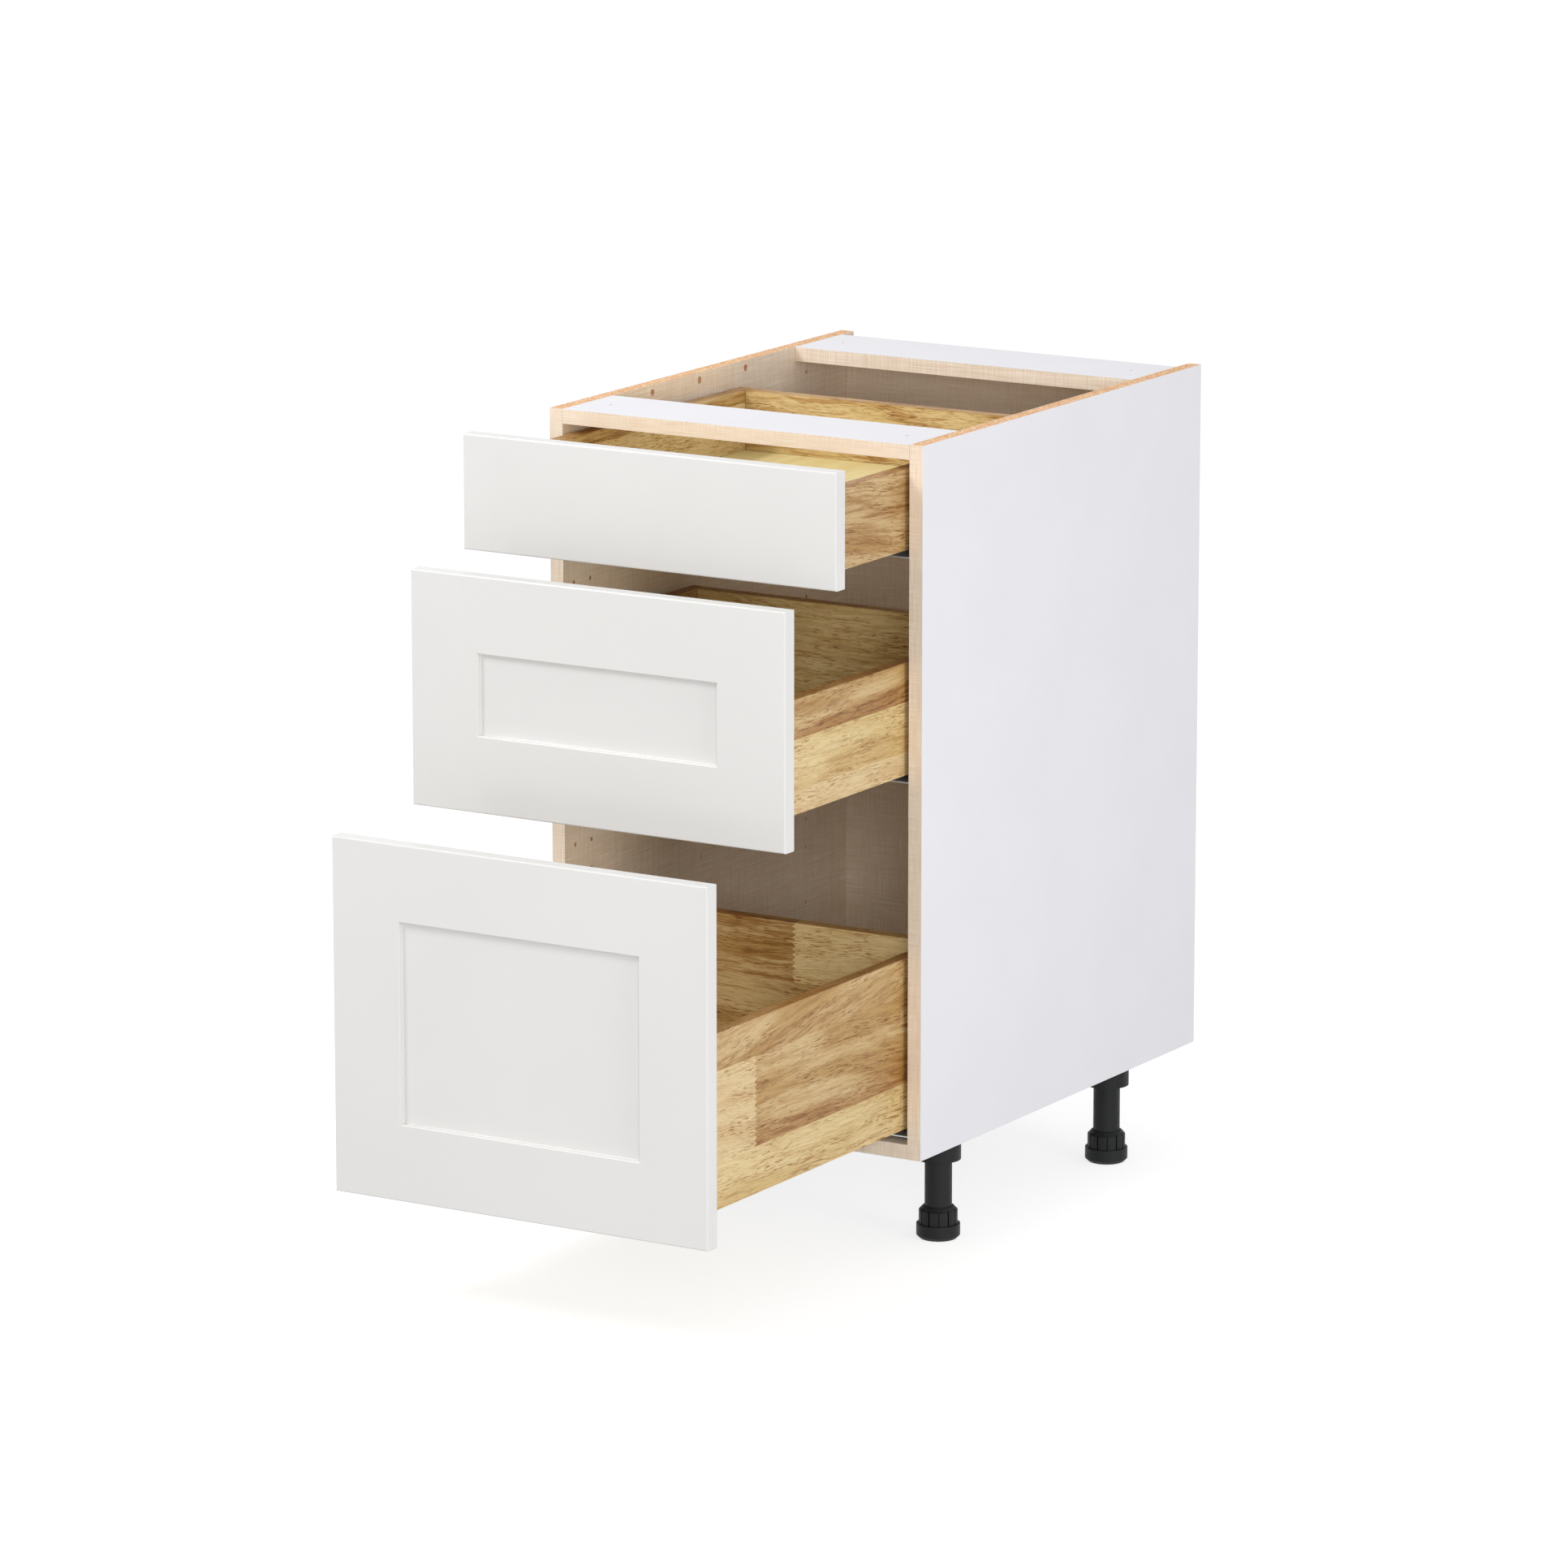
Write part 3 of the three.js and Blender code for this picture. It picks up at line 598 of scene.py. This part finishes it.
FASTENER_EDGE_ANGLE = 40
RECESS_TIP = 1.25
BUMPER_SIDES = 28
SMALLEST_SINE = 1e-6


def plus_angles(half_width, length):
    """The directions of a cross recess's corners, with one more between each pair."""
    corner = math.atan2(half_width, length)
    quarter = (0, corner / 2, corner, (corner + math.pi / 4) / 2, math.pi / 4)
    mirrored = [math.pi / 2 - angle for angle in reversed(quarter[1:-1])]
    first = list(quarter) + mirrored
    return [angle + turn * math.pi / 2 for turn in range(4) for angle in first]


def plus_radius(angle, half_width, length):
    """How far from the middle the outline of the cross is in one direction."""
    folded = angle % (math.pi / 2)
    folded = min(folded, math.pi / 2 - folded)
    return min(length / math.cos(folded), half_width / max(math.sin(folded), SMALLEST_SINE))


def closed_mesh(name, loops, tip):
    """Joins loops of points into one closed form, from the middle of the first loop to a tip."""
    sides = len(loops[0])
    points = [point for loop in loops for point in loop]
    faces = []
    for ring in range(len(loops) - 1):
        for i in range(sides):
            j = (i + 1) % sides
            here, above = ring * sides, (ring + 1) * sides
            faces.append((here + i, here + j, above + j, above + i))
    last = (len(loops) - 1) * sides
    points += [(0, 0, tip), (0, 0, loops[0][0][2])]
    faces += [(last + i, last + (i + 1) % sides, len(points) - 2) for i in range(sides)]
    faces += [((i + 1) % sides, i, len(points) - 1) for i in range(sides)]
    mesh = bpy.data.meshes.new(name)
    mesh.from_pydata(points, [], faces)
    mesh.update()
    return mesh


def round_loops(rings, angles):
    """A circle of points for each ring, whose radius and height are in millimetres."""
    return [
        [(radius * MM * math.cos(a), radius * MM * math.sin(a), height * MM) for a in angles]
        for radius, height in rings
    ]


def fastener_mesh(name, rings, half_width, length, depth, taper):
    """A round head with a cross recess, whose floor is smaller than its mouth by the taper.

    Rings are (radius, height) in millimetres, from the seat up to the crown.
    """
    angles = plus_angles(half_width, length)
    loops = round_loops(rings, angles)
    crown = rings[-1][1] * MM
    for scale, height in ((1.0, crown), (taper, crown - depth)):
        reach = [scale * plus_radius(a, half_width, length) for a in angles]
        loops.append([(r * math.cos(a), r * math.sin(a), height) for r, a in zip(reach, angles)])
    return closed_mesh(name, loops, crown - depth * RECESS_TIP)


def bumper_mesh(name, rings):
    """A low round button."""
    angles = [2 * math.pi * i / BUMPER_SIDES for i in range(BUMPER_SIDES)]
    return closed_mesh(name, round_loops(rings, angles), rings[-1][1] * MM)


def fasteners(name, mesh, places, outward, turns, material, body):
    """One object with a copy of the mesh at each place, turned in its seat, its crown looking outward."""
    direction = Vector(outward).to_track_quat("Z", "Y").to_matrix()
    points, faces = [], []
    for place, turn in zip(places, turns):
        start = len(points)
        cos, sin = math.cos(turn), math.sin(turn)
        for vertex in mesh.vertices:
            x, y, z = vertex.co
            points.append(Vector(place) + direction @ Vector((x * cos - y * sin, x * sin + y * cos, z)))
        faces += [[start + i for i in polygon.vertices] for polygon in mesh.polygons]
    joined = bpy.data.meshes.new(name)
    joined.from_pydata(points, [], faces)
    joined.materials.append(material)
    piece = bpy.data.objects.new(name, joined)
    bpy.context.scene.collection.objects.link(piece)
    joined.shade_smooth()
    split = piece.modifiers.new("edges", "EDGE_SPLIT")
    split.split_angle = math.radians(FASTENER_EDGE_ANGLE)
    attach(piece, body)


def random_turns(name, count):
    draw = random.Random(name)
    return [draw.uniform(0, math.pi / 2) for _ in range(count)]


SCREW_RINGS = [(3.6, 0.0), (3.6, 0.4), (3.2, 1.0), (2.6, 1.4), (2.2, 1.5)]
BOX_SCREW_RINGS = [(5.0, 0.0), (5.0, 0.5), (4.4, 1.3), (3.6, 1.9), (2.6, 2.1)]
CAM_RINGS = [(7.3, -11.8), (7.3, -0.6), (6.9, -0.3), (5.2, -0.3), (4.4, -0.5)]
BUMPER_RINGS = [(4.5, 0.0), (4.4, 0.6), (3.9, 1.0), (2.9, 1.25), (1.5, 1.35)]

SCREW_CROSS = {"half_width": 0.45 * MM, "length": 1.9 * MM, "depth": 1.0 * MM, "taper": 0.6}
BOX_SCREW_CROSS = {"half_width": 0.5 * MM, "length": 2.3 * MM, "depth": 1.4 * MM, "taper": 0.6}
CAM_CROSS = {"half_width": 0.7 * MM, "length": 3.9 * MM, "depth": 2.0 * MM, "taper": 0.7}

screw_mesh = fastener_mesh("screw_head", SCREW_RINGS, **SCREW_CROSS)
box_screw_mesh = fastener_mesh("box_screw_head", BOX_SCREW_RINGS, **BOX_SCREW_CROSS)
cam_mesh = fastener_mesh("cam", CAM_RINGS, **CAM_CROSS)
clear_bumper_mesh = bumper_mesh("bumper", BUMPER_RINGS)

RAIL_SCREW_PLACES = (1, 8, 15)
SYSTEM_FIRST, SYSTEM_PITCH = 20.8 * MM, 32 * MM
RAIL_SCREW_RISE = 14 * MM
SHEET = 1.2 * MM

carcase_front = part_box("left_side_panel")[0].y

for drawer in DRAWERS:
    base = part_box(f"{drawer}_box_left_side")[0].z
    for side, sign in SIDES:
        low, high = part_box(f"{drawer}_{side}_cabinet_rail")
        flange = high.x - SHEET if side == "right" else low.x + SHEET
        places = [
            (flange, carcase_front + SYSTEM_FIRST + n * SYSTEM_PITCH, base + RAIL_SCREW_RISE)
            for n in RAIL_SCREW_PLACES
        ]
        turns = random_turns(drawer + side, len(places))
        inward = (-sign, 0, 0)
        name = f"{drawer}_{side}_rail_screws"
        fasteners(name, screw_mesh, places, inward, turns, zinc, "carcase")

CAM_COLUMN = 178.4 * MM
CAM_ROWS = (
    ("front_stretcher", (52.5,)),
    ("rear_stretcher", (523.75,)),
    ("bottom_panel", (60, 527.35)),
)
BACK_CAM_LEVELS = (60, 686.1)

for board, rows in CAM_ROWS:
    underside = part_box(board)[0].z
    places = [(x, carcase_front + row * MM, underside) for row in rows for x in (-CAM_COLUMN, CAM_COLUMN)]
    turns = random_turns(board, len(places))
    fasteners(f"{board}_cams", cam_mesh, places, (0, 0, -1), turns, cast, "carcase")

rear_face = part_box("back_panel")[1].y
places = [(x, rear_face, level(row)) for row in BACK_CAM_LEVELS for x in (-CAM_COLUMN, CAM_COLUMN)]
turns = random_turns("back_panel", len(places))
fasteners("back_panel_cams", cam_mesh, places, (0, 1, 0), turns, cast, "carcase")

FRONT_SCREW_COLUMN = 112 * MM
BUMPER_COLUMN = 219 * MM
BUMPER_INSET = 14 * MM

for drawer in DRAWERS:
    low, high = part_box(f"{drawer}_box_front")
    shares = (0.5,) if drawer == "top" else (0.25, 0.75)
    places = [
        (x, high.y, low.z + (high.z - low.z) * share)
        for share in shares
        for x in (-FRONT_SCREW_COLUMN, FRONT_SCREW_COLUMN)
    ]
    turns = random_turns(drawer + "_box_front", len(places))
    body = f"{drawer}_drawer"
    name = f"{drawer}_front_screws"
    fasteners(name, box_screw_mesh, places, (0, 1, 0), turns, zinc, body)

    low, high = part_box(f"{drawer}_drawer_front")
    places = [
        (x, high.y, z)
        for z in (low.z + BUMPER_INSET, high.z - BUMPER_INSET)
        for x in (-BUMPER_COLUMN, BUMPER_COLUMN)
    ]
    turns = [0.0] * len(places)
    name = f"{drawer}_bumpers"
    fasteners(name, clear_bumper_mesh, places, (0, 1, 0), turns, clear, body)

# ---------------------------------------------------------------- floor, lights and camera

FLOOR_REACH = 30
FLOOR_DROP = 0.2 * MM
FLOOR_SHADE = 0.5
SEEN_FLOOR_SHADE = 0.4
SEEN_FLOOR_GLOW = 0.75
DOME_STRENGTH = 0.64

CAMERA_PLACE = (4.365, -7.2004, 2.3193)
CAMERA_DOWN = 12.34
CAMERA_TURN = 31.19
CAMERA_LENS = 186.0
CAMERA_SENSOR = 36
CAMERA_NEAR, CAMERA_FAR = 0.1, 60

# Name, direction from the middle of the cabinet, distance, diameter and power in watts.
LAMPS = (
    ("key_light", (-0.46, -0.62, 0.64), 3.5, 1.2, 38),
    ("edge_light", (-0.5, -0.22, 0.84), 3.0, 0.4, 14),
    ("side_light", (0.96, -0.26, 0.09), 4.0, 1.6, 42),
    ("fill_light", (0.56, -0.8, 0.22), 5.0, 1.2, 64),
)


def any_of(tree, *flags):
    """One where at least one of the ray flags is one."""
    result = flags[0]
    for flag in flags[1:]:
        node = tree.nodes.new("ShaderNodeMath")
        node.operation = "MAXIMUM"
        tree.links.new(result, node.inputs[0])
        tree.links.new(flag, node.inputs[1])
        result = node.outputs[0]
    return result


def combine(tree, kind, *inputs):
    """A node that adds or mixes shaders."""
    node = tree.nodes.new(kind)
    for socket, value in zip(node.inputs, inputs):
        tree.links.new(value, socket)
    return node.outputs[0]


def plain_shader(tree, kind, **constants):
    node = tree.nodes.new(kind)
    for socket, value in constants.items():
        node.inputs[socket].default_value = value
    return node.outputs[0]


def stage_floor():
    """A pale floor that is white to the camera where nothing shades it, and clear to a camera below it."""
    mesh = bpy.data.meshes.new("floor")
    reach = FLOOR_REACH
    corners = [(-reach, -reach, 0), (reach, -reach, 0), (reach, reach, 0), (-reach, reach, 0)]
    mesh.from_pydata(corners, [], [(0, 1, 2, 3)])
    floor = bpy.data.objects.new("floor", mesh)
    floor.location.z = cad_low.z - FLOOR_DROP
    bpy.context.scene.collection.objects.link(floor)
    material = bpy.data.materials.new("pale_floor")
    material.use_nodes = True
    tree = material.node_tree
    tree.nodes.clear()
    path = tree.nodes.new("ShaderNodeLightPath").outputs
    backfacing = tree.nodes.new("ShaderNodeNewGeometry").outputs["Backfacing"]
    lit = plain_shader(tree, "ShaderNodeBsdfDiffuse", Color=grey(FLOOR_SHADE))
    seen_lit = plain_shader(tree, "ShaderNodeBsdfDiffuse", Color=grey(SEEN_FLOOR_SHADE))
    glow = plain_shader(tree, "ShaderNodeEmission", Strength=SEEN_FLOOR_GLOW)
    seen_floor = combine(tree, "ShaderNodeAddShader", seen_lit, glow)
    seen = any_of(tree, path["Is Camera Ray"], path["Is Glossy Ray"])
    upper = combine(tree, "ShaderNodeMixShader", seen, lit, seen_floor)
    clear_face = plain_shader(tree, "ShaderNodeBsdfTransparent")
    both_faces = combine(tree, "ShaderNodeMixShader", backfacing, upper, clear_face)
    tree.links.new(both_faces, tree.nodes.new("ShaderNodeOutputMaterial").inputs["Surface"])
    mesh.materials.append(material)


def studio_world():
    """An even white dome. The camera and mirrors see it as plain white."""
    world = bpy.data.worlds.new("studio")
    bpy.context.scene.world = world
    world.use_nodes = True
    tree = world.node_tree
    tree.nodes.clear()
    path = tree.nodes.new("ShaderNodeLightPath").outputs
    dome = plain_shader(tree, "ShaderNodeBackground", Color=grey(1.0), Strength=DOME_STRENGTH)
    white = plain_shader(tree, "ShaderNodeBackground", Color=grey(1.0), Strength=1.0)
    seen = any_of(tree, path["Is Camera Ray"], path["Is Glossy Ray"], path["Is Transmission Ray"])
    sky = combine(tree, "ShaderNodeMixShader", seen, dome, white)
    tree.links.new(sky, tree.nodes.new("ShaderNodeOutputWorld").inputs["Surface"])


def soft_box(name, direction, distance, size, watts):
    """A round soft box that looks at the middle of the cabinet from one direction."""
    lamp = bpy.data.lights.new(name, "AREA")
    lamp.shape = "DISK"
    lamp.size = size
    lamp.energy = watts
    light = bpy.data.objects.new(name, lamp)
    direction = Vector(direction).normalized()
    light.location = (cad_low + cad_high) / 2 + direction * distance
    light.rotation_mode = "QUATERNION"
    light.rotation_quaternion = direction.to_track_quat("Z", "Y")
    bpy.context.scene.collection.objects.link(light)


def photo_camera():
    """The photograph's viewpoint, from the right of the drawers and a little above."""
    lens = bpy.data.cameras.new("camera")
    lens.sensor_width = CAMERA_SENSOR
    lens.lens = CAMERA_LENS
    lens.clip_start = CAMERA_NEAR
    lens.clip_end = CAMERA_FAR
    camera = bpy.data.objects.new("camera", lens)
    camera.location = CAMERA_PLACE
    camera.rotation_euler = (math.radians(90 - CAMERA_DOWN), 0, math.radians(CAMERA_TURN))
    bpy.context.scene.collection.objects.link(camera)
    bpy.context.scene.camera = camera


stage_floor()
studio_world()
for lamp in LAMPS:
    soft_box(*lamp)
photo_camera()

bpy.context.scene.view_settings.view_transform = "Standard"
